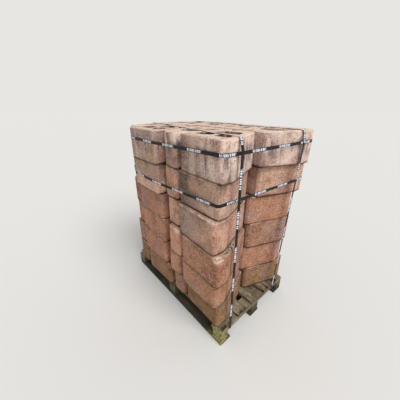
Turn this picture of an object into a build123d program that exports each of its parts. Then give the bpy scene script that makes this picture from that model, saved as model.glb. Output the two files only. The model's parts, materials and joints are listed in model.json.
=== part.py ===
from build123d import *
import os

os.makedirs("parts", exist_ok=True)

# Cast concrete block, millimetres: a wide face that tapers back to a narrow tail
face_width = 325.0
tail_width = 112.0
block_depth = 355.0
block_height = 200.0
side_return = 80.0
face_corner_radius = 22.0
tail_corner_cut = 12.0
top_arris = 6.0

# Hollows cast through each block: a pair behind the face and one in the tail
face_shell = 70.0
pair_depth = 80.0
centre_web = 40.0
side_wall = 40.0
cross_web = 28.0
tail_hollow_depth = 85.0
hollow_corner = 14.0

# Pin holes in the top of a block, behind the ends of its face
pin_hole_radius = 8.0
pin_hole_depth = 60.0
pin_hole_spacing = 236.0
pin_hole_set_back = 35.0

# Load: two rows of blocks laid back to back, with every other block turned end for end
row_joint = 4.0

# How each course lies: how far its first block stands in from the pallet's near end, the joints
# left between neighbours, how far each block stands in from the row's face, and its turn in degrees
bottom_lay = dict(inset=29.0, joints=(2, 12, 22), slips=(28, 19, -1, 1), turns=(0, 0, 2.5, 0))
second_lay = dict(inset=25.0, joints=(21, 25, 12), slips=(-12, -6, -10, 7), turns=(0, 0, 1, 0))
third_lay = dict(inset=0.0, joints=(6, 52, 4), slips=(-24, -20, -11, 16), turns=(0, 0, 0, 0))
fourth_lay = dict(inset=36.0, joints=(22, 22, 6), slips=(-16, 14, -16, 10), turns=(-2, 0, 0, 0))
fifth_lay = dict(inset=41.0, joints=(3, 15, 16), slips=(5, 4, -42, 15), turns=(0, 0, 0, 0))
top_lay = dict(inset=15.0, joints=(7, 29, 20), slips=(0, -2, -48, 20), turns=(0, 0, 0, 0))
right_top_lay = dict(inset=-26.0, joints=(12, 18, 9), slips=(0, -8, -14, 16), turns=(0, 0, 0, 0))
left_lays = [bottom_lay, second_lay, third_lay, fourth_lay, fifth_lay, top_lay]
right_lays = [fourth_lay, fifth_lay, second_lay, bottom_lay, third_lay, right_top_lay]

# Pallet under the load, made to suit two blocks back to back and turned a little under the
# stack: boards and blocks of timber, nailed together so that forks go in from all four sides
pallet_length = 1120.0
pallet_margin = 10.0
pallet_turn = 1.4
load_overhang = 35.0
deck_board_width = 95.0
deck_board_count = 5
bearer_width = 95.0
bearer_count = 3
bearer_reach = 18.0
pallet_block_length = 80.0
pallet_block_width = 70.0
pallet_block_height = 78.0
base_board_width = 95.0
base_board_count = 3
board_thickness = 22.0
board_edge_break = 2.0

# Plastic strapping, pulled tight: a band round each of the two top courses, then two upright
# straps that go over the load, at a slant from the near end to the far end, and under the deck.
# Each upright strap's set-ins are from its side of the pallet, at the near and far ends.
strap_width = 18.0
strap_thickness = 1.0
strap_clearance = 0.3
strap_bend = 8.0
band_drops = {"top": 66.0, "second": 115.0}
upright_strap_set_ins = {"left": (78.0, 230.0), "right": (124.0, 98.0)}

side_taper = (face_width - tail_width) / 2 / (block_depth - side_return)
pallet_width = 2 * block_depth + pallet_margin
bearer_underside = board_thickness + pallet_block_height
deck_underside = bearer_underside + board_thickness
deck_top = deck_underside + board_thickness
bearer_length = pallet_width + 2 * bearer_reach
course_count = len(left_lays)


def half_width(depth):
    """Half of a block's width at a depth behind its face."""
    return face_width / 2 - side_taper * max(0, depth - side_return)


def nested_pitch(face_slip, tail_slip):
    """Centre distance at which a face-out block and a tail-out block just touch."""
    return (face_width + tail_width) / 2 + side_taper * (side_return + face_slip - tail_slip)


def row_places(lay):
    """Slip, centre line and turn of each block along a row, from the near end."""
    slips = lay["slips"]
    centres = [-pallet_length / 2 + lay["inset"] + face_width / 2]
    for column, joint in enumerate(lay["joints"]):
        face_out, tail_out = (column, column + 1) if column % 2 == 0 else (column + 1, column)
        centres.append(centres[-1] + nested_pitch(slips[face_out], slips[tail_out]) + joint)
    return list(zip(slips, centres, lay["turns"]))


def course_seats(course):
    """Floor-level planes of the blocks of a course, each with X running from face to tail."""
    rows = {"left": row_places(left_lays[course]), "right": row_places(right_lays[course])}
    deepest = {side: max(slip for slip, centre, turn in places) for side, places in rows.items()}
    left_line = -(pallet_width / 2 + load_overhang)
    right_line = left_line + 2 * block_depth + deepest["left"] + deepest["right"] + row_joint
    face_lines = {"left": left_line, "right": right_line}
    seats = {}
    for side, places in rows.items():
        inward = 1 if side == "left" else -1
        for column, (slip, centre, turn) in enumerate(places):
            face_out = column % 2 == 0
            to_face = slip if face_out else slip + block_depth
            along = inward if face_out else -inward
            corner = (face_lines[side] + inward * to_face, centre, 0)
            seat = Plane(origin=corner, x_dir=(along, 0, 0), z_dir=(0, 0, 1))
            seats[f"{side}_{column + 1}"] = seat.rotated((0, 0, inward * turn))
    return seats


def pulled_tight(points):
    """Corners, in order, of the shortest loop round the points."""
    loop = []
    for ordered in (sorted(points), sorted(points, reverse=True)):
        chain = []
        for point in ordered:
            while len(chain) > 1:
                last_run = Vector(*chain[-1]) - Vector(*chain[-2])
                if last_run.cross(Vector(*point) - Vector(*chain[-1])).Z > 0.001:
                    break
                chain.pop()
            chain.append(point)
        loop += chain[:-1]
    return loop


# Plan of a block, with the middle of its face at the origin and its tail towards +X
with BuildSketch() as block_plan:
    with BuildLine():
        Polyline(
            (0, -face_width / 2),
            (side_return, -face_width / 2),
            (block_depth, -tail_width / 2),
            (block_depth, tail_width / 2),
            (side_return, face_width / 2),
            (0, face_width / 2),
            close=True,
        )
    make_face()
    fillet(block_plan.vertices().group_by(Axis.X)[0], face_corner_radius)
    chamfer(block_plan.vertices().group_by(Axis.X)[-1], tail_corner_cut)

# Plan of the hollows: a pair side by side, whose outer walls follow the taper, and the tail's
pair_front = face_shell
pair_back = pair_front + pair_depth
tail_front = pair_back + cross_web
tail_back = tail_front + tail_hollow_depth
with BuildSketch() as hollow_plan:
    with BuildLine():
        Polyline(
            (pair_front, centre_web / 2),
            (pair_front, half_width(pair_front) - side_wall),
            (pair_back, half_width(pair_back) - side_wall),
            (pair_back, centre_web / 2),
            close=True,
        )
    make_face()
    mirror(about=Plane.XZ)
    with BuildLine():
        Polyline(
            (tail_front, half_width(tail_front) - side_wall),
            (tail_back, half_width(tail_back) - side_wall),
            (tail_back, side_wall - half_width(tail_back)),
            (tail_front, side_wall - half_width(tail_front)),
            close=True,
        )
    make_face()
with BuildSketch() as eased_hollow_plan:
    add(hollow_plan.sketch)
    chamfer(eased_hollow_plan.vertices(), hollow_corner)

# Where a strap bends round a block: centres, a face corner's radius in from its outline
side_normal = Vector(side_taper, 1).normalized()
side_end = Vector(block_depth, tail_width / 2) + side_normal.rotate(Axis.Z, 90) * tail_corner_cut
half_bends = [
    Vector(face_corner_radius, face_width / 2 - face_corner_radius),
    Vector(side_return, face_width / 2 - face_corner_radius),
    Vector(side_return, face_width / 2) - side_normal * face_corner_radius,
    side_end - side_normal * face_corner_radius,
    Vector(block_depth - face_corner_radius, tail_width / 2 - tail_corner_cut),
]
corner_bends = half_bends + [Vector(bend.X, -bend.Y) for bend in half_bends]

# One block of a lower course, plain where the next course hides it
with BuildPart() as lower_block:
    add(block_plan.sketch)
    extrude(amount=block_height)
    add(hollow_plan.sketch)
    extrude(amount=block_height, mode=Mode.SUBTRACT)

# One block of the top course, with its arrises, hollows and pin holes open to view
with BuildPart() as top_block:
    add(block_plan.sketch)
    extrude(amount=block_height)
    chamfer(top_block.faces().sort_by(Axis.Z)[-1].edges(), top_arris)
    add(eased_hollow_plan.sketch)
    extrude(amount=block_height, mode=Mode.SUBTRACT)
    with BuildSketch(Plane.XY.offset(block_height)):
        with Locations((pin_hole_set_back, 0)):
            with GridLocations(0, pin_hole_spacing, 1, 2):
                Circle(pin_hole_radius)
    extrude(amount=-pin_hole_depth, mode=Mode.SUBTRACT)

# Courses numbered from the bottom, each with a left and a right row numbered from the near end
for course in range(course_count):
    pattern = top_block if course == course_count - 1 else lower_block
    for place, seat in course_seats(course).items():
        with BuildPart(seat.offset(deck_top + course * block_height)) as block:
            add(pattern.part)
        block.part.label = f"block_{course + 1}_{place}"
        export_step(block.part, f"parts/{block.part.label}.step")

# Bands round the two top courses, which bear on the corners that stand proudest
band_plans = {}
for course, (name, drop) in zip((course_count - 1, course_count - 2), band_drops.items()):
    bends = [seat.from_local_coords(bend) for seat in course_seats(course).values() for bend in corner_bends]
    with BuildSketch() as inner_line:
        with BuildLine():
            Polyline(*pulled_tight([(bend.X, bend.Y) for bend in bends]), close=True)
        make_face()
        offset(amount=face_corner_radius + strap_clearance)
    band_bottom = deck_top + (course + 1) * block_height - drop - strap_width / 2
    with BuildPart() as band:
        with BuildSketch(Plane.XY.offset(band_bottom)):
            add(inner_line.sketch)
            offset(amount=strap_thickness)
            add(inner_line.sketch, mode=Mode.SUBTRACT)
        extrude(amount=strap_width)
    band.part.label = f"strap_round_{name}_course"
    export_step(band.part, f"parts/{band.part.label}.step")
    with BuildSketch() as band_plans[band_bottom]:
        add(inner_line.sketch)
        offset(amount=strap_thickness)

# Outline of the pallet from above, which is what the upright straps bear on under the load
pallet_seat = Plane.XY.rotated((0, 0, pallet_turn))
with BuildSketch(pallet_seat) as pallet_plan:
    Rectangle(bearer_length, pallet_length)

# Upright straps, one over each row, which bear on whatever stands proudest along their line
storeys = [(bearer_underside, deck_top, [pallet_plan.sketch])]
for course in range(course_count):
    floor_of_course = deck_top + course * block_height
    plans = []
    for seat in course_seats(course).values():
        with BuildSketch(seat) as placed_plan:
            add(block_plan.sketch)
        plans.append(placed_plan.sketch)
    storeys.append((floor_of_course, floor_of_course + block_height, plans))
for band_bottom, band_line in band_plans.items():
    storeys.append((band_bottom, band_bottom + strap_width, [band_line]))
for side, set_ins in upright_strap_set_ins.items():
    outward = -1 if side == "left" else 1
    near_place, far_place = (outward * (pallet_width / 2 - set_in) for set_in in set_ins)
    middle = ((near_place + far_place) / 2, 0, 0)
    run = Vector(far_place - near_place, pallet_length, 0).normalized()
    ground_line = Plane(origin=middle, x_dir=run)
    bends = []
    for bottom, top, plans in storeys:
        with BuildSketch() as strip:
            for plan in plans:
                add(plan)
            with Locations(ground_line):
                Rectangle(2 * pallet_length, strap_width, mode=Mode.INTERSECT)
        ends = ground_line.to_local_coords(strip.sketch).bounding_box()
        bends += [(end, level) for end in (ends.min.X, ends.max.X) for level in (bottom, top)]
    with BuildSketch() as inner_line:
        with BuildLine():
            Polyline(*pulled_tight(bends), close=True)
        make_face()
        fillet(inner_line.vertices().group_by(Axis.Y)[-1], strap_bend)
        offset(amount=strap_clearance, kind=Kind.INTERSECTION)
    upright = Plane(origin=middle, x_dir=run, z_dir=run.rotate(Axis.Z, -90))
    with BuildPart() as strap:
        with BuildSketch(upright.offset(-strap_width / 2)):
            add(inner_line.sketch)
            offset(amount=strap_thickness, kind=Kind.INTERSECTION)
            add(inner_line.sketch, mode=Mode.SUBTRACT)
        extrude(amount=strap_width)
    strap.part.label = f"upright_strap_{side}"
    export_step(strap.part, f"parts/{strap.part.label}.step")

# Deck boards, which run the pallet's length and carry the bottom course
deck_pitch = (pallet_width - deck_board_width) / (deck_board_count - 1)
for number in range(deck_board_count):
    across = (number - (deck_board_count - 1) / 2) * deck_pitch
    with BuildPart() as deck_board:
        with BuildSketch(pallet_seat.offset(deck_underside)):
            with Locations((across, 0)):
                Rectangle(deck_board_width, pallet_length)
        extrude(amount=board_thickness)
        chamfer(deck_board.edges().group_by(Edge.length)[-1], board_edge_break)
    deck_board.part.label = f"deck_board_{number + 1}"
    export_step(deck_board.part, f"parts/{deck_board.part.label}.step")

# Bearers, which cross under the deck boards at the pallet's ends and middle
bearer_pitch = (pallet_length - bearer_width) / (bearer_count - 1)
with BuildPart() as bearers:
    with BuildSketch(pallet_seat.offset(bearer_underside)):
        with GridLocations(0, bearer_pitch, 1, bearer_count):
            Rectangle(bearer_length, bearer_width)
    extrude(amount=board_thickness)
    chamfer(bearers.edges().group_by(Edge.length)[-1], board_edge_break)
bearers.part.label = "bearers"
export_step(bearers.part, "parts/bearers.step")

# Pallet blocks, one wherever a bearer crosses a base board, which hold the fork pockets open
block_pitch_across = (bearer_length - pallet_block_width) / (base_board_count - 1)
block_pitch_along = (pallet_length - pallet_block_length) / (bearer_count - 1)
with BuildPart() as pallet_blocks:
    with BuildSketch(pallet_seat.offset(board_thickness)):
        with GridLocations(block_pitch_across, block_pitch_along, base_board_count, bearer_count):
            Rectangle(pallet_block_width, pallet_block_length)
    extrude(amount=pallet_block_height)
    chamfer(pallet_blocks.edges().filter_by(Axis.Z), board_edge_break)
pallet_blocks.part.label = "pallet_blocks"
export_step(pallet_blocks.part, "parts/pallet_blocks.step")

# Base boards, which run the pallet's length under the blocks and rest on the ground
base_board_pitch = (bearer_length - base_board_width) / (base_board_count - 1)
with BuildPart() as base_boards:
    with BuildSketch(pallet_seat):
        with GridLocations(base_board_pitch, 0, base_board_count, 1):
            Rectangle(base_board_width, pallet_length)
    extrude(amount=board_thickness)
    chamfer(base_boards.edges().group_by(Edge.length)[-1], board_edge_break)
base_boards.part.label = "base_boards"
export_step(base_boards.part, "parts/base_boards.step")
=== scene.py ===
import json
import math
import random
from collections import namedtuple

import bmesh
import bpy
from mathutils import Matrix, Vector, kdtree, noise
from mathutils.bvhtree import BVHTree


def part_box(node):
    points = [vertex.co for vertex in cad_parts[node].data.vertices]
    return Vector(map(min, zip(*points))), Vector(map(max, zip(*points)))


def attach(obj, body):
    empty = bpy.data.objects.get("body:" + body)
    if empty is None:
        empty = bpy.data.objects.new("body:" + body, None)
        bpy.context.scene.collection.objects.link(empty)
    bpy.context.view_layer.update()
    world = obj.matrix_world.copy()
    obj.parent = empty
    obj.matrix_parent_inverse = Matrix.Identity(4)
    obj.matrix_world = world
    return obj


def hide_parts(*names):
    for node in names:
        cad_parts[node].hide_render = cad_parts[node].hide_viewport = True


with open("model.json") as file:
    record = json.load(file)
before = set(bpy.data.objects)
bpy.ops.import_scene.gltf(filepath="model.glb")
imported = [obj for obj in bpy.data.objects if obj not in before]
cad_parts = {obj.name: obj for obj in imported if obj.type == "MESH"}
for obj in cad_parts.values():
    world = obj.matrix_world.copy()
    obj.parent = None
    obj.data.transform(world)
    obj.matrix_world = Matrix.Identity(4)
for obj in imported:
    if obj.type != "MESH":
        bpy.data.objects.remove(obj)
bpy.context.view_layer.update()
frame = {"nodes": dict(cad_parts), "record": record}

slot_of = {row["node"]: row["material_slot"] for row in frame["record"]["subparts"]}

# Camera: a phone held at head height beside the near left corner of the stack, with its
# wide lens tipped down along the left row.
eye = Vector((-1.0324, -1.1462, 1.4694))
eye_turn = math.radians(-40.17)
eye_dip = math.radians(24.22)
lens_of_phone = bpy.data.cameras.new("camera")
lens_of_phone.sensor_width = 36.0
lens_of_phone.lens = 18.744
lens_of_phone.clip_start = 0.05
camera = bpy.data.objects.new("camera", lens_of_phone)
camera.location = eye
camera.rotation_euler = (math.pi / 2 - eye_dip, 0.0, eye_turn)
bpy.context.scene.collection.objects.link(camera)
bpy.context.scene.camera = camera


# Concrete wall blocks: earth-dry concrete, coloured through with brown and red pigment, is
# pressed and vibrated in a steel mould, so a block has an even skin, sharp hollows and pin
# holes. Handling and weather have since rounded and chipped the arrises that stand free.
# Lengths are in metres and angles in radians.
Chip = namedtuple("Chip", "place radius depth")
Knock = namedtuple("Knock", "place radius reach depth")
corner_gap = 0.00005
flat_angle = math.radians(1)
arris_radius = 0.003
arris_angle = math.radians(30)
arris_turn = 0.46
cell = 0.014
cut_slack = 0.00001
skin_ripple = 0.0004
ripples_per_metre = 22
arris_loss = 0.0016
crumbs_per_metre = 70
wear_reach = 0.016
joint_reach = 0.011
rim_reach = 0.040
shelter_reach = 0.045
shelter_start = 0.004
shelter_lean = 0.9
shelter_turn = -0.75
free_shelter = 0.1
overhang_shade_and_dirt = 2.5
shelter_shade_and_dirt = 1.6
dark_joint_guard = 2
shelter_guard = 4
crumb_share = 0.8
crumb_floor = 0.3
chips_per_block = 5
chip_radius = (0.006, 0.018)
chip_depth = (0.002, 0.006)
chip_steepness = 1.6
chip_wear = 2
knock_wear = 1.8
knock_raggedness = 0.6
rags_per_metre = 55
knocks_on = {
    "block_4_left_1": [Knock(Vector((-0.408, -0.485, 0.944)), 0.046, 0.024, 0.003),
                       Knock(Vector((-0.410, -0.415, 0.944)), 0.042, 0.024, 0.002),
                       Knock(Vector((-0.410, -0.335, 0.944)), 0.040, 0.024, 0.002)],
    "block_3_left_1": [Knock(Vector((-0.408, -0.552, 0.744)), 0.058, 0.090, 0.0045)],
    "block_3_left_2": [Knock(Vector((-0.415, -0.170, 0.744)), 0.052, 0.050, 0.003),
                       Knock(Vector((-0.410, -0.197, 0.665)), 0.050, 0.024, 0.002)],
    "block_2_left_2": [Knock(Vector((-0.405, -0.200, 0.560)), 0.046, 0.024, 0.002)],
}


def held(value):
    """A value held between 0 and 1."""
    return min(1.0, max(0.0, value))


def fading(distance, reach):
    """A share that falls from 1 where the distance is nothing to 0 at the reach."""
    return max(0.0, 1 - distance / reach)


def solid_of(node):
    """The form of a CAD node, with its triangles joined into whole faces."""
    form = bmesh.new()
    form.from_mesh(frame["nodes"][node].data)
    bmesh.ops.remove_doubles(form, verts=form.verts, dist=corner_gap)
    bmesh.ops.dissolve_limit(form, angle_limit=flat_angle, verts=form.verts, edges=form.edges)
    return form


def round_arrises(form, radius):
    """Rounds the edges of a form that turn sharply."""
    arrises = [edge for edge in form.edges if edge.calc_face_angle(0) > arris_angle]
    bmesh.ops.bevel(form, geom=arrises, offset=radius, segments=2, profile=0.5,
                    affect="EDGES", material=-1, clamp_overlap=True)


def cut_in_cells(form, size):
    """Cuts a form along all three directions into cells of about a size."""
    low = Vector([min(vert.co[axis] for vert in form.verts) for axis in range(3)])
    high = Vector([max(vert.co[axis] for vert in form.verts) for axis in range(3)])
    for axis in range(3):
        count = max(1, round((high[axis] - low[axis]) / size[axis]))
        for number in range(1, count):
            place = low.copy()
            place[axis] += (high[axis] - low[axis]) * number / count
            across = Vector((0, 0, 0))
            across[axis] = 1
            everything = form.verts[:] + form.edges[:] + form.faces[:]
            bmesh.ops.bisect_plane(form, geom=everything, dist=cut_slack, plane_co=place, plane_no=across)


def nearness_to_arrises(form):
    """The points on a form's rounded edges, and for each of its points the distance to them."""
    turning = []
    for vert in form.verts:
        first = vert.link_faces[0].normal
        if max(face.normal.angle(first, 0) for face in vert.link_faces) > arris_turn:
            turning.append(vert)
    tree = kdtree.KDTree(len(turning))
    for index, vert in enumerate(turning):
        tree.insert(vert.co, index)
    tree.balance()
    return turning, {vert: tree.find(vert.co)[2] for vert in form.verts}


def stack_surface():
    """The blocks and timber together, as one surface that rays are cast against."""
    corners, faces = [], []
    for node, piece in frame["nodes"].items():
        if slot_of[node] != "black_strapping":
            first = len(corners)
            corners += [vert.co.copy() for vert in piece.data.vertices]
            faces += [[first + index for index in face.vertices] for face in piece.data.polygons]
    return BVHTree.FromPolygons(corners, faces)


stack = stack_surface()
axis_ways = [Vector(way) for way in ((1, 0, 0), (-1, 0, 0), (0, 1, 0), (0, -1, 0), (0, 0, 1), (0, 0, -1))]


def shelter_at(place, outward):
    """How closely the rest of the stack surrounds a place, from 0 in the open to 1."""
    ways = [outward + shelter_lean * way for way in axis_ways if outward.dot(way) > shelter_turn]
    start = place + outward * shelter_start
    struck = [way for way in ways if stack.ray_cast(start, way.normalized(), shelter_reach)[0] is not None]
    return len(struck) / len(ways)


def drop_chips(arris, chance):
    """The small chips that a block has lost, at points of its arrises."""
    chips = []
    for _ in range(chips_per_block):
        place = chance.choice(arris).co.copy()
        chips.append(Chip(place, chance.uniform(*chip_radius), chance.uniform(*chip_depth)))
    return chips


def breakage_at(place, to_arris, open_share, chips, knocks):
    """How deep chips and knocks have broken a place away, and how fresh they have left it."""
    loss, fresh = 0.0, 0.0
    for chip in chips:
        inside = fading((place - chip.place).length, chip.radius)
        loss = max(loss, chip.depth * held(inside * chip_steepness))
        fresh = max(fresh, open_share * held(inside * chip_wear))
    for knock in knocks:
        ragged = knock_raggedness * noise.noise(place * rags_per_metre)
        inside = 1 - (place - knock.place).length / knock.radius + ragged
        loss = max(loss, knock.depth * held(inside * chip_steepness) * fading(to_arris, wear_reach))
        fresh = max(fresh, knock_wear * held(inside * chip_wear) * fading(to_arris, knock.reach))
    return loss, fresh


def weathered_block(node, chance):
    """A block's form with rounded and chipped arrises, and its wear, its joints darkened with dirt and
    painted shade, and its rims.
    """
    form = solid_of(node)
    round_arrises(form, arris_radius)
    cut_in_cells(form, (cell, cell, cell))
    form.normal_update()
    turning, distance = nearness_to_arrises(form)
    shelter = {vert: shelter_at(vert.co, vert.normal) for vert in form.verts}
    free_arris = [vert for vert in turning if shelter[vert] < free_shelter]
    chips = drop_chips(free_arris or turning, chance)
    knocks = knocks_on.get(node, [])
    wear, joint, rim, shifts = [], [], [], {}
    for vert in form.verts:
        to_arris = distance[vert]
        # Painted shade with dirt: near the arrises, darker where the stack closes round a point and where
        # the face looks down.
        overhang = held(-overhang_shade_and_dirt * vert.normal.z)
        dirt_and_shade = max(overhang, held(shelter_shade_and_dirt * shelter[vert])) * fading(to_arris, joint_reach)
        open_share = held(1 - shelter_guard * shelter[vert] - overhang) * held(1 - dark_joint_guard * dirt_and_shade)
        rubbed = open_share * fading(to_arris, wear_reach)
        crumbled = max(0.0, noise.noise(vert.co * crumbs_per_metre) * crumb_share + crumb_floor)
        crumbled *= arris_loss * rubbed ** 2
        broken, fresh = breakage_at(vert.co, to_arris, open_share, chips, knocks)
        ripple = noise.noise(vert.co * ripples_per_metre) * skin_ripple
        shifts[vert] = vert.normal * (ripple - max(crumbled, broken))
        wear.append(max(rubbed, fresh))
        joint.append(dirt_and_shade)
        rim.append(fading(to_arris, rim_reach))
    for vert, shift in shifts.items():
        vert.co += shift
    return form, {"wear": wear, "joint": joint, "rim": rim}


def set_in_scene(form, name, material):
    """Makes a form into an object of the scene with a finish."""
    mesh = bpy.data.meshes.new(name)
    form.to_mesh(mesh)
    form.free()
    mesh.materials.append(material)
    thing = bpy.data.objects.new(name, mesh)
    bpy.context.scene.collection.objects.link(thing)
    return thing


def finish_piece(form, name, material, node):
    """Makes a form into a piece of the scene that stands for a CAD node."""
    bmesh.ops.recalc_face_normals(form, faces=form.faces)
    piece = set_in_scene(form, name, material)
    piece.data.shade_smooth()
    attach(piece, "root")
    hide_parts(node)
    return piece


def paint_values(piece, name, values):
    """Gives a piece a named value at each of its points."""
    piece.data.attributes.new(name, "FLOAT", "POINT").data.foreach_set("value", values)


def display(red, green, blue):
    """A colour given as it shows on a screen, 0 to 255, as the light that it stands for."""
    shares = [value / 255 for value in (red, green, blue)]
    light = [share / 12.92 if share <= 0.04045 else ((share + 0.055) / 1.055) ** 2.4 for share in shares]
    return Vector(light + [1.0])


def shader_node(tree, kind, inputs=None, **settings):
    """One node of a material, with its settings, and its inputs as links or plain values."""
    node = tree.nodes.new("ShaderNode" + kind)
    for name, value in settings.items():
        setattr(node, name, value)
    for name, value in (inputs or {}).items():
        if isinstance(value, bpy.types.NodeSocket):
            tree.links.new(value, node.inputs[name])
        else:
            node.inputs[name].default_value = value
    return node


def object_place(tree, stretch=(1.0, 1.0, 1.0)):
    """The place on the piece, in metres, stretched for patterns that run one way."""
    place = shader_node(tree, "TexCoord").outputs["Object"]
    return shader_node(tree, "Mapping", {"Vector": place, "Scale": stretch}).outputs["Vector"]


def height_at(tree, place):
    """The height of a place above the ground, in metres."""
    return shader_node(tree, "SeparateXYZ", {0: place}).outputs["Z"]


def facing(tree, axis="Z"):
    """How far the surface faces along an axis, from -1 to 1."""
    normal = shader_node(tree, "NewGeometry").outputs["Normal"]
    return shader_node(tree, "SeparateXYZ", {0: normal}).outputs[axis]


def cloudy(tree, place, scale, detail=4.0, roughness=0.55):
    """Cloudy variation from 0 to 1 over the surface."""
    settings = {"Vector": place, "Scale": scale, "Detail": detail, "Roughness": roughness}
    return shader_node(tree, "TexNoise", settings).outputs["Fac"]


def spread(tree, value, low, high, start=0.0, end=1.0):
    """A value's range from low to high, spread from start to end and held there."""
    settings = {"Value": value, "From Min": low, "From Max": high, "To Min": start, "To Max": end}
    return shader_node(tree, "MapRange", settings, interpolation_type="SMOOTHSTEP").outputs["Result"]


def patches(tree, place, scale, low, high, start=0.0, end=1.0, detail=4.0, roughness=0.55):
    """Soft-edged patches, which are cloudy variation with its range spread."""
    return spread(tree, cloudy(tree, place, scale, detail, roughness), low, high, start, end)


def reckon(tree, operation, first, second=0.0):
    """One step of arithmetic on values of the surface."""
    return shader_node(tree, "Math", {0: first, 1: second}, operation=operation).outputs["Value"]


def times(tree, first, second):
    """The product of two values."""
    return reckon(tree, "MULTIPLY", first, second)


def over(tree, share, below, above, mode="MIX"):
    """One colour laid over another by a share."""
    mixed = shader_node(tree, "Mix", {0: share, 6: below, 7: above}, data_type="RGBA", blend_type=mode)
    return mixed.outputs[2]


def painted(tree, name):
    """A value that the piece carries at each of its points."""
    return shader_node(tree, "Attribute", attribute_name=name).outputs["Fac"]


def roughen(tree, shader, height, depth, strength):
    """Turns a height into relief on the shader's surface."""
    bump = shader_node(tree, "Bump", {"Height": height, "Distance": depth, "Strength": strength})
    tree.links.new(bump.outputs["Normal"], shader.inputs["Normal"])


def new_material(name):
    """An empty finish, with its tree and its shader."""
    material = bpy.data.materials.new(name)
    material.use_nodes = True
    return material, material.node_tree, material.node_tree.nodes["Principled BSDF"]


def new_effect(name, inputs):
    """An empty node group for a mask that several finishes share, with its ends."""
    effect = bpy.data.node_groups.new(name, "ShaderNodeTree")
    for socket, start in inputs.items():
        value = effect.interface.new_socket(name=socket, in_out="INPUT", socket_type="NodeSocketFloat")
        value.default_value = start
    effect.interface.new_socket(name="Mask", in_out="OUTPUT", socket_type="NodeSocketFloat")
    return effect, effect.nodes.new("NodeGroupInput").outputs, effect.nodes.new("NodeGroupOutput").inputs


def mask_of(tree, effect, settings):
    """The mask that a shared effect gives in a finish."""
    node = shader_node(tree, "Group", settings, node_tree=effect)
    return node.outputs["Mask"]


def make_green_film():
    """Algae, a thin film in patches on what faces up and on what stays damp near the ground."""
    effect, given, result = new_effect("green_film", {"Amount": 0.5, "Damp height": 0.3})
    place = object_place(effect)
    grown = patches(effect, place, 14.0, 0.46, 0.68, detail=5.0, roughness=0.65)
    facing_up = spread(effect, facing(effect), 0.3, 0.95)
    low_share = reckon(effect, "DIVIDE", height_at(effect, place), given["Damp height"])
    damp = spread(effect, low_share, 0.0, 1.0, 1.0, 0.0)
    mask = times(effect, times(effect, grown, reckon(effect, "MAXIMUM", facing_up, damp)), given["Amount"])
    effect.links.new(mask, result["Mask"])
    return effect


def make_dirt():
    """Fine soil that rain splashes and wind carries, in smears and specks."""
    effect, given, result = new_effect("dirt", {"Amount": 0.5})
    place = object_place(effect)
    smears = patches(effect, place, 9.0, 0.50, 0.78, detail=6.0, roughness=0.7)
    specks = patches(effect, place, 150.0, 0.54, 0.74, detail=3.0, roughness=0.6)
    mask = times(effect, reckon(effect, "MAXIMUM", smears, specks), given["Amount"])
    effect.links.new(mask, result["Mask"])
    return effect


green_film = make_green_film()
dirt = make_dirt()
cloud_light, cloud_shade = display(96, 78, 66), display(190, 168, 158)
olive_tinge, violet_tinge = display(128, 116, 82), display(150, 128, 130)
blotch_light, blotch_shade = display(96, 80, 66), display(178, 156, 144)
lime_white = display(222, 198, 186)
run_stain = display(100, 82, 88)
sand_light, sand_shade = display(150, 130, 112), display(150, 124, 110)
grain_light, dark_grain = display(146, 126, 110), display(80, 55, 44)
rim_grime_and_shade = display(96, 72, 60)
pale_dust = display(240, 214, 196)
brown_grit = display(142, 116, 94)
fresh_break = display(236, 208, 190)
film_green = display(150, 142, 84)
brown_soil = display(86, 66, 56)
joint_soil_and_shade = display(44, 29, 23)
run_stretch = 0.11
run_foot = (1.16, 1.25)
run_head = (1.31, 1.28)


def clouded(tree, place, colour, bloom):
    """The unevenness of the mix: wet and dry clouds, tinges, blotches and a bloom of lime."""
    mottle = cloudy(tree, place, 11.0, 5.0, 0.6)
    colour = over(tree, spread(tree, mottle, 0.32, 0.52, 0.72, 0.0), colour, cloud_shade, "MULTIPLY")
    colour = over(tree, spread(tree, mottle, 0.50, 0.68, 0.0, 0.62), colour, cloud_light, "SCREEN")
    tinge = cloudy(tree, place, 6.5, 4.0, 0.6)
    colour = over(tree, spread(tree, tinge, 0.54, 0.68, 0.0, 0.42), colour, olive_tinge)
    colour = over(tree, spread(tree, tinge, 0.34, 0.46, 0.42, 0.0), colour, violet_tinge)
    blotches = cloudy(tree, place, 62.0, 5.0, 0.7)
    colour = over(tree, spread(tree, blotches, 0.53, 0.66, 0.0, 0.76), colour, blotch_light, "SCREEN")
    colour = over(tree, spread(tree, blotches, 0.30, 0.44, 0.76, 0.0), colour, blotch_shade, "MULTIPLY")
    lime = patches(tree, place, 24.0, 0.50, 0.72, end=bloom, detail=6.0, roughness=0.7)
    return over(tree, lime, colour, lime_white)


def rain_streaked(tree, place, colour, streaks):
    """Dark runs that rain has drawn down the faces, in patches and all along the top strap."""
    height = height_at(tree, place)
    by_strap = times(tree, spread(tree, height, *run_foot), spread(tree, height, *run_head))
    patchy = patches(tree, place, 8.0, 0.42, 0.62, detail=3.0, roughness=0.5)
    runs = cloudy(tree, object_place(tree, (1.0, 1.0, run_stretch)), 34.0, 4.0, 0.6)
    where = reckon(tree, "MAXIMUM", by_strap, patchy)
    run_share = times(tree, spread(tree, runs, 0.42, 0.66, 0.0, streaks), where)
    return over(tree, run_share, colour, run_stain)


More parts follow.
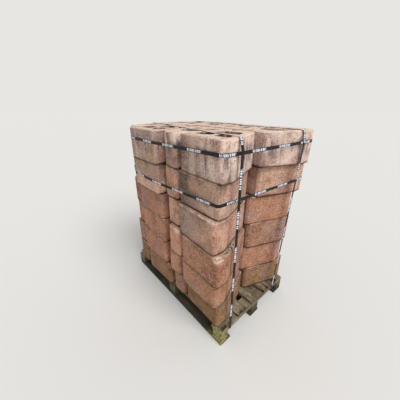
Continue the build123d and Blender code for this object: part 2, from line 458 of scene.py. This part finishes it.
def grained(tree, place, colour, fine):
    """The sand and the coarser grains that show in the skin, light and dark."""
    colour = over(tree, spread(tree, fine, 0.54, 0.66, 0.0, 0.70), colour, sand_light, "SCREEN")
    colour = over(tree, spread(tree, fine, 0.32, 0.46, 0.65, 0.0), colour, sand_shade, "MULTIPLY")
    grains = shader_node(tree, "TexVoronoi", {"Vector": place, "Scale": 165.0})
    kind = shader_node(tree, "SeparateColor", {0: grains.outputs["Color"]}).outputs["Red"]
    inside = spread(tree, grains.outputs["Distance"], 0.36, 0.60, 1.0, 0.0)
    light_share = times(tree, inside, spread(tree, kind, 0.72, 0.84))
    dark_share = times(tree, inside, spread(tree, kind, 0.15, 0.27, 0.58, 0.0))
    return over(tree, dark_share, over(tree, light_share, colour, grain_light, "SCREEN"), dark_grain)


def grimy_and_shaded(tree, place, colour, rim_shade_and_grime, dust):
    """Grime and painted shade near the rims of the upright faces, and dust and grit on what faces up."""
    upward = facing(tree)
    upright = spread(tree, reckon(tree, "ABSOLUTE", upward), 0.2, 0.6, 1.0, 0.0)
    grime_and_shade = patches(tree, place, 13.0, 0.42, 0.62, detail=5.0, roughness=0.65)
    near_rim = times(tree, grime_and_shade, painted(tree, "rim"))
    # Darker towards the rims of upright faces: grime and painted shade.
    colour = over(tree, times(tree, times(tree, near_rim, upright), rim_shade_and_grime), colour, rim_grime_and_shade)
    colour = over(tree, spread(tree, upward, 0.5, 0.95, 0.0, dust), colour, pale_dust)
    grit = times(tree, patches(tree, place, 90.0, 0.50, 0.62, detail=5.0, roughness=0.75),
                 spread(tree, upward, 0.5, 0.95, 0.0, 0.50))
    return over(tree, grit, colour, brown_grit)


def worn(tree, place, colour):
    """Arrises rubbed pale in places, and the paler knocks."""
    wear = painted(tree, "wear")
    patchy = times(tree, patches(tree, place, 40.0, 0.38, 0.62, 0.15, 0.9),
                   patches(tree, place, 9.0, 0.44, 0.58, 0.25, 1.0, detail=3.0))
    rubbed = times(tree, spread(tree, wear, 0.25, 0.9), patchy)
    knocked = times(tree, spread(tree, wear, 0.9, 1.5, 0.0, 0.92),
                    patches(tree, place, 60.0, 0.36, 0.56, 0.5, 1.0, detail=5.0, roughness=0.7))
    return over(tree, reckon(tree, "MAXIMUM", rubbed, knocked), colour, fresh_break)


def cast_concrete(name, streaks, bloom, rim_shade_and_grime, dust, film, damp_height):
    """Coloured concrete: each block's own colour with grains, pores, streaks, film and wear."""
    material, tree, shader = new_material(name)
    place = object_place(tree)
    fine = cloudy(tree, place, 240.0, 4.0, 0.8)
    colour = shader_node(tree, "Attribute", attribute_name="cast_colour").outputs["Color"]
    colour = clouded(tree, place, colour, bloom)
    colour = rain_streaked(tree, place, colour, streaks)
    colour = grained(tree, place, colour, fine)
    colour = grimy_and_shaded(tree, place, colour, rim_shade_and_grime, dust)
    colour = worn(tree, place, colour)
    film_mask = mask_of(tree, green_film, {"Amount": film, "Damp height": damp_height})
    colour = over(tree, film_mask, colour, film_green)
    colour = over(tree, mask_of(tree, dirt, {"Amount": 0.22}), colour, brown_soil)
    # The joints and the undersides of overhangs darkened: dirt and painted shade.
    colour = over(tree, spread(tree, painted(tree, "joint"), 0.04, 0.5, 0.0, 0.92), colour, joint_soil_and_shade)
    tree.links.new(colour, shader.inputs["Base Color"])
    tree.links.new(spread(tree, fine, 0.3, 0.7, 0.84, 0.98), shader.inputs["Roughness"])
    pores = shader_node(tree, "TexVoronoi", {"Vector": place, "Scale": 95.0})
    pitted = spread(tree, pores.outputs["Distance"], 0.06, 0.20)
    relief = reckon(tree, "ADD", times(tree, fine, 0.6), times(tree, pitted, 0.7))
    relief = reckon(tree, "ADD", relief, times(tree, cloudy(tree, place, 60.0), 1.2))
    roughen(tree, shader, relief, 0.0012, 0.8)
    shader.inputs["Specular IOR Level"].default_value = 0.25
    return material


# The courses get their finishes by height: the top one takes the rain and the dust, the
# bottom one the damp of the ground.
finishes = {
    "pink_brown_concrete": dict(streaks=0.86, bloom=0.22, rim_shade_and_grime=0.30, dust=0.72, film=0.28, damp_height=0.2),
    "red_brown_concrete": dict(streaks=0.40, bloom=0.06, rim_shade_and_grime=0.50, dust=0.18, film=0.15, damp_height=0.2),
    "terracotta_concrete": dict(streaks=0.14, bloom=0.02, rim_shade_and_grime=0.60, dust=0.12, film=0.10, damp_height=0.3),
    "olive_brown_concrete": dict(streaks=0.10, bloom=0.0, rim_shade_and_grime=0.60, dust=0.10, film=0.40, damp_height=0.42),
}
concrete = {name: cast_concrete(name, **finish) for name, finish in finishes.items()}

bleached = display(255, 226, 212)
blush = display(246, 212, 194)
pale_pink = display(232, 204, 190)
pink_beige = display(205, 172, 155)
umber_pink = display(186, 144, 124)
dusky_pink = display(180, 147, 130)
dull_pink = display(164, 134, 118)
shaded_pink = display(146, 118, 104)
mauve_brown = display(168, 142, 136)
bright_red = display(224, 168, 138)
orange_pink = display(222, 178, 152)
orange_red = display(206, 160, 136)
warm_brown = display(206, 170, 148)
soft_red = display(190, 146, 122)
soft_umber = display(154, 128, 113)
dusty_rose = display(202, 153, 131)
rosy = display(202, 148, 121)
terracotta = display(180, 126, 99)
brown = display(165, 115, 86)
umber = display(162, 119, 95)
dark_umber = display(150, 105, 81)
olive_brown = display(136, 95, 61)
grey_brown = display(158, 138, 124)
dark_grey = display(132, 112, 100)
ash_brown = display(128, 108, 98)
slate_brown = display(112, 92, 82)
soot_brown = display(100, 83, 72)
soot_grey = display(80, 72, 68)

# Each block has a pair of tones, one for its near side and one for its far side. A row is
# listed from the near end. Blocks that a band crosses can have another pair above the band.
tones_by_course = {
    # block_6_left_1's pale near tones are partly painted light on its near end.
    6: {"left": [(pale_pink, shaded_pink), (dusky_pink, dusky_pink),
                 (dusky_pink, pink_beige), (dull_pink, dull_pink)],
        "right": [(pale_pink, pink_beige), (pink_beige, pale_pink),
                  (dusky_pink, pink_beige), (pale_pink, dusky_pink)]},
    5: {"left": [(warm_brown, dark_grey), (soft_red, soft_red),
                 (orange_pink, orange_pink), (slate_brown, ash_brown)],
        "right": [(orange_red, warm_brown), (warm_brown, umber),
                  (terracotta, orange_red), (warm_brown, umber)]},
    4: {"left": [(dusty_rose, grey_brown), (orange_pink, orange_red),
                 (terracotta, umber), (umber, dark_umber)],
        "right": [(terracotta, umber), (orange_red, rosy),
                  (umber, terracotta), (terracotta, umber)]},
    3: {"left": [(brown, terracotta), (rosy, rosy),
                 (terracotta, terracotta), (terracotta, terracotta)],
        "right": [(umber, brown), (terracotta, rosy),
                  (rosy, terracotta), (umber, brown)]},
    2: {"left": [(brown, terracotta), (terracotta, rosy),
                 (terracotta, terracotta), (dark_umber, umber)],
        "right": [(terracotta, brown), (terracotta, umber),
                  (brown, terracotta), (terracotta, umber)]},
    1: {"left": [(olive_brown, olive_brown), (dark_umber, umber),
                 (olive_brown, dark_umber), (olive_brown, olive_brown)],
        "right": [(olive_brown, umber), (brown, umber),
                  (olive_brown, olive_brown), (brown, olive_brown)]},
}
tones_above_band = {
    # block_6_left_1's blush near tone above the band is partly painted light on its near end.
    "block_6_left_1": (blush, dusky_pink), "block_6_left_2": (bleached, bleached),
    "block_6_left_3": (mauve_brown, mauve_brown), "block_6_left_4": (blush, blush),
    "block_6_right_1": (pale_pink, pale_pink), "block_6_right_3": (pale_pink, pale_pink),
    "block_5_left_1": (umber_pink, soot_grey), "block_5_left_2": (bright_red, bright_red),
    "block_5_left_3": (soft_umber, soft_umber), "block_5_left_4": (soot_brown, soot_brown),
}
band_round_course = {6: "strap_round_top_course", 5: "strap_round_second_course"}
tone_wander = 0.5
wanders_per_metre = 9
tone_turn_above = (0.4, 0.7)
band_blur = 0.02
band_raggedness = 1.5
band_rags_per_metre = 14
share_above_band = 0.8


def paint_cast_colour(piece, node, tones, band):
    """Lays a block's tones on its points, blended from near to far and ragged at the band."""
    low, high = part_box(node)
    near, far = tones
    near_above, far_above = tones_above_band.get(node, tones)
    turn_start, turn_end = tone_turn_above
    level = high.z
    if node in tones_above_band:
        level = sum(corner.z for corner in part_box(band)) / 2
    shown = []
    for vert in piece.data.vertices:
        wander = tone_wander * noise.noise(vert.co * wanders_per_metre)
        away = held((vert.co.y - low.y) / (high.y - low.y) + wander)
        ragged = band_raggedness * noise.noise(vert.co * band_rags_per_metre)
        above = held((vert.co.z - level) / band_blur + ragged)
        tone_above = near_above.lerp(far_above, held((away - turn_start) / (turn_end - turn_start)))
        shown += near.lerp(far, away).lerp(tone_above, share_above_band * above)[:]
    piece.data.attributes.new("cast_colour", "FLOAT_COLOR", "POINT").data.foreach_set("color", shown)


chance = random.Random(7)
for course, rows in tones_by_course.items():
    for side, row in rows.items():
        for column, tones in enumerate(row, 1):
            node = f"block_{course}_{side}_{column}"
            form, values = weathered_block(node, chance)
            piece = finish_piece(form, f"wall_{node}", concrete[slot_of[node]], node)
            for name, value in values.items():
                paint_values(piece, name, value)
            paint_cast_colour(piece, node, tones, band_round_course.get(course))


# Pallet timber: rough-sawn softwood, nailed together green and left outdoors, so it is grey and cracked
# along its grain, dark in damp stains, darker towards the ground with damp and painted shade, and mossy at
# the corner in the open.
board_radius = 0.002
cell_along_grain = 0.040
cell_across_grain = 0.012
saw_ripple = 0.0006
saw_ripples_per_metre = 90
edge_loss = 0.0022
edge_crumbs_per_metre = 40
edge_reach = 0.012
crumb_start = 0.2
pull_along_grain = 0.15
splits_per_piece = 14
split_length = 0.11
split_share = (0.4, 1.0)
split_half_width = 0.004
split_depth = 0.003
nail_radius = 0.0042
nail_height = 0.0008
nail_sides = 10
nail_taper = 0.8
nail_from_middle = 0.022
nail_from_end = 0.045
pallet_turn = math.radians(1.4)
mossy_corner = Vector((-0.37, -0.53, 0.06))
moss_reach = 0.16
fibre_stretch = 0.045
saw_mark_stretch = 0.3
darkening_height = 0.135
band_brown, band_grey = display(126, 112, 90), display(176, 162, 134)
fibre_light, fibre_dark = display(200, 190, 168), display(66, 54, 42)
ring_dark, ring_light = display(84, 72, 54), display(150, 136, 104)
knot_brown = display(72, 50, 34)
edge_brown = display(98, 88, 70)
damp_brown = display(62, 54, 42)
damp_and_shade_black = display(38, 33, 27)
timber_green = display(104, 104, 66)
moss_dark, moss_light = display(96, 94, 46), display(198, 190, 128)
nail_rust = display(86, 54, 38)


def weathered_timber(node, grain, chance):
    """Sawn timber with soft edges and cracks from its ends, and the wear of its edges."""
    axis = "xyz".index(grain)
    across = 1 - axis
    form = solid_of(node)
    low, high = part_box(node)
    round_arrises(form, board_radius)
    cells = [cell_across_grain] * 3
    cells[axis] = cell_along_grain
    cut_in_cells(form, cells)
    form.normal_update()
    distance = nearness_to_arrises(form)[1]
    splits = [(chance.choice((low[axis], high[axis])), chance.uniform(low[across], high[across]),
               split_length * chance.uniform(*split_share)) for _ in range(splits_per_piece)]
    wear, shifts = [], {}
    for vert in form.verts:
        nearness = fading(distance[vert], edge_reach)
        stretched = vert.co.copy()
        stretched[axis] *= pull_along_grain
        ripple = noise.noise(stretched * saw_ripples_per_metre) * saw_ripple
        loss = max(0.0, noise.noise(stretched * edge_crumbs_per_metre) + crumb_start) * edge_loss * nearness
        for end, place, length in splits:
            if abs(vert.co[across] - place) < split_half_width:
                loss = max(loss, split_depth * fading(abs(vert.co[axis] - end), length))
        shifts[vert] = vert.normal * (ripple - loss)
        wear.append(nearness)
    for vert, shift in shifts.items():
        vert.co += shift
    return form, wear


def drive_nails(form, places, level):
    """Adds the low heads of nails to a form, and says which points are theirs."""
    before = set(form.verts)
    for place in places:
        seat = Matrix.Translation((place.x, place.y, level))
        bmesh.ops.create_cone(form, cap_ends=True, segments=nail_sides, radius1=nail_radius,
                              radius2=nail_radius * nail_taper, depth=2 * nail_height, matrix=seat)
    return [0.0 if vert in before else 1.0 for vert in form.verts]


def nail_places_on(node):
    """Two nails side by side over each bearer, on a deck board that lies turned as the pallet does."""
    low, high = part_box(node)
    middle = (low + high) / 2
    turn = Matrix.Rotation(pallet_turn, 3, "Z")
    row_spacing = high.y - middle.y - nail_from_end
    return [middle + turn @ Vector((side * nail_from_middle, row * row_spacing, 0))
            for row in (-1, 0, 1) for side in (-1, 1)]


def end_grain(tree, grain, colour):
    """Year rings where the timber is cut across."""
    end_on = spread(tree, reckon(tree, "ABSOLUTE", facing(tree, grain.upper())), 0.75, 0.95)
    rings = shader_node(tree, "TexWave",
                        {"Vector": object_place(tree), "Scale": 55.0, "Distortion": 5.0, "Detail": 2.0,
                         "Detail Scale": 1.2},
                        wave_type="RINGS", rings_direction=grain.upper())
    ring_colour = over(tree, spread(tree, rings.outputs["Fac"], 0.3, 0.8), ring_dark, ring_light)
    return over(tree, end_on, colour, ring_colour)


def damp_shade_and_green(tree, place, colour):
    """Damp stains, the timber darkened towards the ground by damp and painted shade, and a green film."""
    damp_stain = patches(tree, place, 7.0, 0.36, 0.66, 0.10, 0.62, detail=5.0, roughness=0.6)
    colour = over(tree, damp_stain, colour, damp_brown)
    # Darker towards the ground: damp and painted shade under the blocks.
    colour = over(tree, spread(tree, height_at(tree, place), 0.0, darkening_height, 0.84, 0.0), colour, damp_and_shade_black)
    film_mask = mask_of(tree, green_film, {"Amount": 0.22, "Damp height": 0.24})
    return over(tree, film_mask, colour, timber_green)


def sawn_timber(name, grain):
    """Weathered softwood whose grain runs along one direction."""
    material, tree, shader = new_material(name)
    stretch = [fibre_stretch if axis == grain else 1.0 for axis in "xyz"]
    along_grain = object_place(tree, stretch)
    place = object_place(tree)
    bands = cloudy(tree, along_grain, 34.0, 3.0, 0.5)
    fibres = cloudy(tree, along_grain, 170.0, 4.0, 0.6)
    colour = over(tree, spread(tree, bands, 0.34, 0.66), band_brown, band_grey)
    colour = over(tree, spread(tree, fibres, 0.56, 0.74, 0.0, 0.7), colour, fibre_light)
    colour = over(tree, spread(tree, fibres, 0.28, 0.46, 0.8, 0.0), colour, fibre_dark)
    colour = end_grain(tree, grain, colour)
    knots = shader_node(tree, "TexVoronoi", {"Vector": along_grain, "Scale": 9.0})
    colour = over(tree, spread(tree, knots.outputs["Distance"], 0.035, 0.09, 0.75, 0.0), colour, knot_brown)
    colour = over(tree, spread(tree, painted(tree, "wear"), 0.3, 1.0, 0.0, 0.35), colour, edge_brown)
    colour = damp_shade_and_green(tree, place, colour)
    moss = times(tree, spread(tree, painted(tree, "moss"), 0.2, 0.75),
                 patches(tree, place, 60.0, 0.36, 0.56, detail=5.0, roughness=0.7))
    moss_tuft = patches(tree, place, 110.0, 0.40, 0.60, detail=5.0, roughness=0.75)
    colour = over(tree, moss, colour, over(tree, moss_tuft, moss_dark, moss_light))
    colour = over(tree, painted(tree, "nail"), colour, nail_rust)
    tree.links.new(colour, shader.inputs["Base Color"])
    tree.links.new(spread(tree, fibres, 0.3, 0.7, 0.78, 0.95), shader.inputs["Roughness"])
    across_grain = object_place(tree, [1.0 if axis == grain else saw_mark_stretch for axis in "xyz"])
    saw_marks = cloudy(tree, across_grain, 120.0, 2.0)
    relief = reckon(tree, "ADD", times(tree, fibres, 1.5), times(tree, saw_marks, 0.4))
    relief = reckon(tree, "ADD", relief, times(tree, moss, cloudy(tree, place, 260.0, 2.0)))
    roughen(tree, shader, relief, 0.0014, 0.9)
    shader.inputs["Specular IOR Level"].default_value = 0.25
    return material


timber = {grain: sawn_timber(f"timber_along_{grain}", grain) for grain in ("y", "x")}
deck_nodes = [node for node in frame["nodes"] if node.startswith("deck_board")]
for node in deck_nodes + ["bearers", "pallet_blocks", "base_boards"]:
    grain = "x" if node == "bearers" else "y"
    form, wear = weathered_timber(node, grain, chance)
    nail_places = nail_places_on(node) if node in deck_nodes else []
    nailed = drive_nails(form, nail_places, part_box(node)[1].z)
    piece = finish_piece(form, f"sawn_{node}", timber[grain], node)
    paint_values(piece, "wear", wear + [0.0] * (len(nailed) - len(wear)))
    paint_values(piece, "nail", nailed)
    moss = [fading((vert.co - mossy_corner).length, moss_reach) for vert in piece.data.vertices]
    paint_values(piece, "moss", moss)


# Plastic strapping: black extruded polypropylene, embossed with a fine waffle and printed at
# even steps. The print is a row of plain slanted bars, half rubbed off.
print_step = 0.222
print_length = 0.104
bar_step = 0.0128
bar_half_height = 0.0066
bar_slant = 0.35
bar_shares = (0.46, 0.80)
print_bend = (-0.34, -0.22)
waffle = 2 * math.pi / 0.0016
strap_black, strap_grey = display(6, 5, 7), display(19, 17, 21)
ink_white = display(226, 231, 242)
strap_dust = display(112, 98, 88)
# Where each strap's first print starts, measured the way that the print runs, and how far
# each upright strap runs aside over the pallet's length.
first_marks = {"strap_round_top_course": -0.543, "strap_round_second_course": -0.697,
               "upright_strap_left": 0.767, "upright_strap_right": 0.690}
pallet_length = 1.12
strap_asides = {"upright_strap_left": 0.152, "upright_strap_right": 0.026}


def measure_along(tree, place, way):
    """How far a place lies along a way, in metres."""
    return shader_node(tree, "VectorMath", {0: place, 1: way}, operation="DOT_PRODUCT").outputs["Value"]


def print_on(tree, place, length, side):
    """Slanted bars of uneven width, then a gap, but none on a bend that the measure can't follow."""
    steps = reckon(tree, "DIVIDE", length, print_step)
    within = times(tree, reckon(tree, "FRACT", steps), print_step)
    marked = reckon(tree, "LESS_THAN", within, print_length)
    bars = reckon(tree, "DIVIDE", reckon(tree, "ADD", within, times(tree, side, bar_slant)), bar_step)
    number = reckon(tree, "FLOOR", bars)
    uneven = shader_node(tree, "TexWhiteNoise", {"W": number}, noise_dimensions="1D").outputs["Value"]
    bar_width = spread(tree, uneven, 0.0, 1.0, *bar_shares)
    inked = reckon(tree, "LESS_THAN", reckon(tree, "FRACT", bars), bar_width)
    centred = reckon(tree, "LESS_THAN", reckon(tree, "ABSOLUTE", side), bar_half_height)
    bend = times(tree, facing(tree, "X"), facing(tree, "Y"))
    flat = times(tree, centred, spread(tree, bend, *print_bend))
    rubbed = patches(tree, place, 260.0, 0.32, 0.45, 0.35, 1.0, detail=3.0, roughness=0.7)
    return times(tree, times(tree, marked, inked), times(tree, flat, rubbed))


def printed_strapping(name, along, first_mark, across, middle):
    """Black strapping whose print runs along one direction and is centred in another."""
    material, tree, shader = new_material(name)
    place = object_place(tree)
    length = measure_along(tree, place, along)
    side = reckon(tree, "SUBTRACT", measure_along(tree, place, across), middle)
    ink = print_on(tree, place, reckon(tree, "SUBTRACT", length, first_mark), side)
    colour = over(tree, patches(tree, place, 60.0, 0.4, 0.7), strap_black, strap_grey)
    colour = over(tree, ink, colour, ink_white)
    colour = over(tree, mask_of(tree, dirt, {"Amount": 0.09}), colour, strap_dust)
    tree.links.new(colour, shader.inputs["Base Color"])
    tree.links.new(patches(tree, place, 90.0, 0.3, 0.7, 0.42, 0.62, detail=3.0), shader.inputs["Roughness"])
    wave_along = reckon(tree, "SINE", times(tree, length, waffle))
    wave_across = reckon(tree, "SINE", times(tree, side, waffle))
    roughen(tree, shader, times(tree, wave_along, wave_across), 0.0003, 0.6)
    shader.inputs["Specular IOR Level"].default_value = 0.3
    return material


for node, first_mark in first_marks.items():
    middle = sum(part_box(node), Vector()) / 2
    if node in strap_asides:
        along = (0.0, 1.0, 1.0)
        across = Vector((1.0, -strap_asides[node] / pallet_length, 0.0)).normalized()
    else:
        along = (1.0, -1.0, 0.0)
        across = Vector((0.0, 0.0, 1.0))
    strap = frame["nodes"][node].data
    strap.materials.clear()
    strap.materials.append(printed_strapping(node + "_print", along, first_mark, across, across.dot(middle)))


# Leaf litter: dry leaf scraps and needles that the wind has left on the ledge of the third
# course, with a few on the top and on the deck. They lie loose, each on what it fell on.
scrap_length = (0.005, 0.016)
scrap_slimness = (0.15, 0.5)
scrap_half_thickness = 0.0006
scrap_tilt = 0.25
scrap_curl = 0.06
level_enough = 0.9
drop_from = 0.03
drop_reach = 0.04
ledge_level, top_level, deck_level = (
    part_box(node)[1].z for node in ("block_3_left_1", "block_6_left_1", "deck_board_1"))
Drift = namedtuple("Drift", "middle reach count")
leaf_drifts = [
    Drift(Vector((-0.315, -0.533, ledge_level)), (0.032, 0.012), 80),
    Drift(Vector((-0.262, -0.514, ledge_level)), (0.026, 0.012), 90),
    Drift(Vector((-0.150, -0.200, top_level)), (0.200, 0.280), 26),
    Drift(Vector((0.120, 0.100, top_level)), (0.220, 0.380), 24),
    Drift(Vector((-0.060, -0.500, deck_level)), (0.120, 0.050), 36),
]
leaf_dark, leaf_pale, vein_brown = display(48, 34, 26), display(238, 222, 192), display(52, 36, 26)


def leaf_scraps(chance):
    """Small thin scraps, each laid on what it falls on, and a tint for each of their points."""
    form = bmesh.new()
    tints = []
    for drift in leaf_drifts:
        for _ in range(drift.count):
            aside = [chance.gauss(0, reach / 2) for reach in drift.reach]
            above = drift.middle + Vector((*aside, drop_from))
            struck, normal = stack.ray_cast(above, Vector((0, 0, -1)), drop_reach)[:2]
            if struck is None or normal.z < level_enough:
                continue
            length = chance.uniform(*scrap_length)
            width = length * chance.uniform(*scrap_slimness)
            turn = Matrix.Rotation(chance.uniform(0, 2 * math.pi), 4, "Z")
            tilt = Matrix.Rotation(chance.uniform(0, scrap_tilt), 4, "X")
            size = Matrix.Diagonal((length / 2, width / 2, scrap_half_thickness, 1.0))
            lift = Matrix.Translation(struck + Vector((0, 0, scrap_half_thickness + width * scrap_curl)))
            before = len(form.verts)
            bmesh.ops.create_icosphere(form, subdivisions=1, radius=1.0, matrix=lift @ turn @ tilt @ size)
            tints += [chance.random()] * (len(form.verts) - before)
    return form, tints


litter_finish, tree, shader = new_material("dry_leaves")
leaf = over(tree, spread(tree, painted(tree, "tint"), 0.3, 0.7), leaf_dark, leaf_pale)
veins = cloudy(tree, object_place(tree), 420.0, 3.0, 0.7)
veined = over(tree, spread(tree, veins, 0.35, 0.65, 0.5, 0.0), leaf, vein_brown)
tree.links.new(veined, shader.inputs["Base Color"])
shader.inputs["Roughness"].default_value = 0.85
roughen(tree, shader, veins, 0.0006, 0.7)
form, tints = leaf_scraps(random.Random(11))
bmesh.ops.recalc_face_normals(form, faces=form.faces)
litter = set_in_scene(form, "leaf_litter", litter_finish)
paint_values(litter, "tint", tints)
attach(litter, "root")


# Studio: a plain pale floor, an even surround that shows nearly white, and one broad soft sun
# over the near end, so that the left row stands in soft shade.
floor_half_width = 60.0
floor_white, surround_white = display(228, 227, 224), display(231, 230, 227)
floor_paint, tree, shader = new_material("floor_paint")
shader.inputs["Base Color"].default_value = floor_white
shader.inputs["Roughness"].default_value = 0.9
floor_form = bmesh.new()
bmesh.ops.create_grid(floor_form, x_segments=1, y_segments=1, size=floor_half_width)
floor = set_in_scene(floor_form, "floor", floor_paint)
surround = bpy.data.worlds.new("surround")
surround.use_nodes = True
backdrop = surround.node_tree
even_light = backdrop.nodes["Background"]
even_light.inputs["Color"].default_value = (1.0, 1.0, 1.0, 1.0)
even_light.inputs["Strength"].default_value = 0.5
seen = shader_node(backdrop, "LightPath").outputs
seen_in_gloss = reckon(backdrop, "MAXIMUM", seen["Is Glossy Ray"], seen["Is Transmission Ray"])
seen_straight = reckon(backdrop, "MAXIMUM", seen["Is Camera Ray"], seen_in_gloss)
pale = shader_node(backdrop, "Background", {"Color": surround_white, "Strength": 1.0})
chosen = shader_node(backdrop, "MixShader", {0: seen_straight, 1: even_light.outputs[0], 2: pale.outputs[0]})
backdrop.links.new(chosen.outputs[0], backdrop.nodes["World Output"].inputs["Surface"])
bpy.context.scene.world = surround
sun = bpy.data.lights.new("sun", "SUN")
sun.energy = 2.2
sun.angle = math.radians(40)
sun_lamp = bpy.data.objects.new("sun", sun)
sun_lamp.rotation_euler = (math.radians(42), 0.0, math.radians(-3))
bpy.context.scene.collection.objects.link(sun_lamp)
bpy.context.scene.view_settings.view_transform = "Standard"
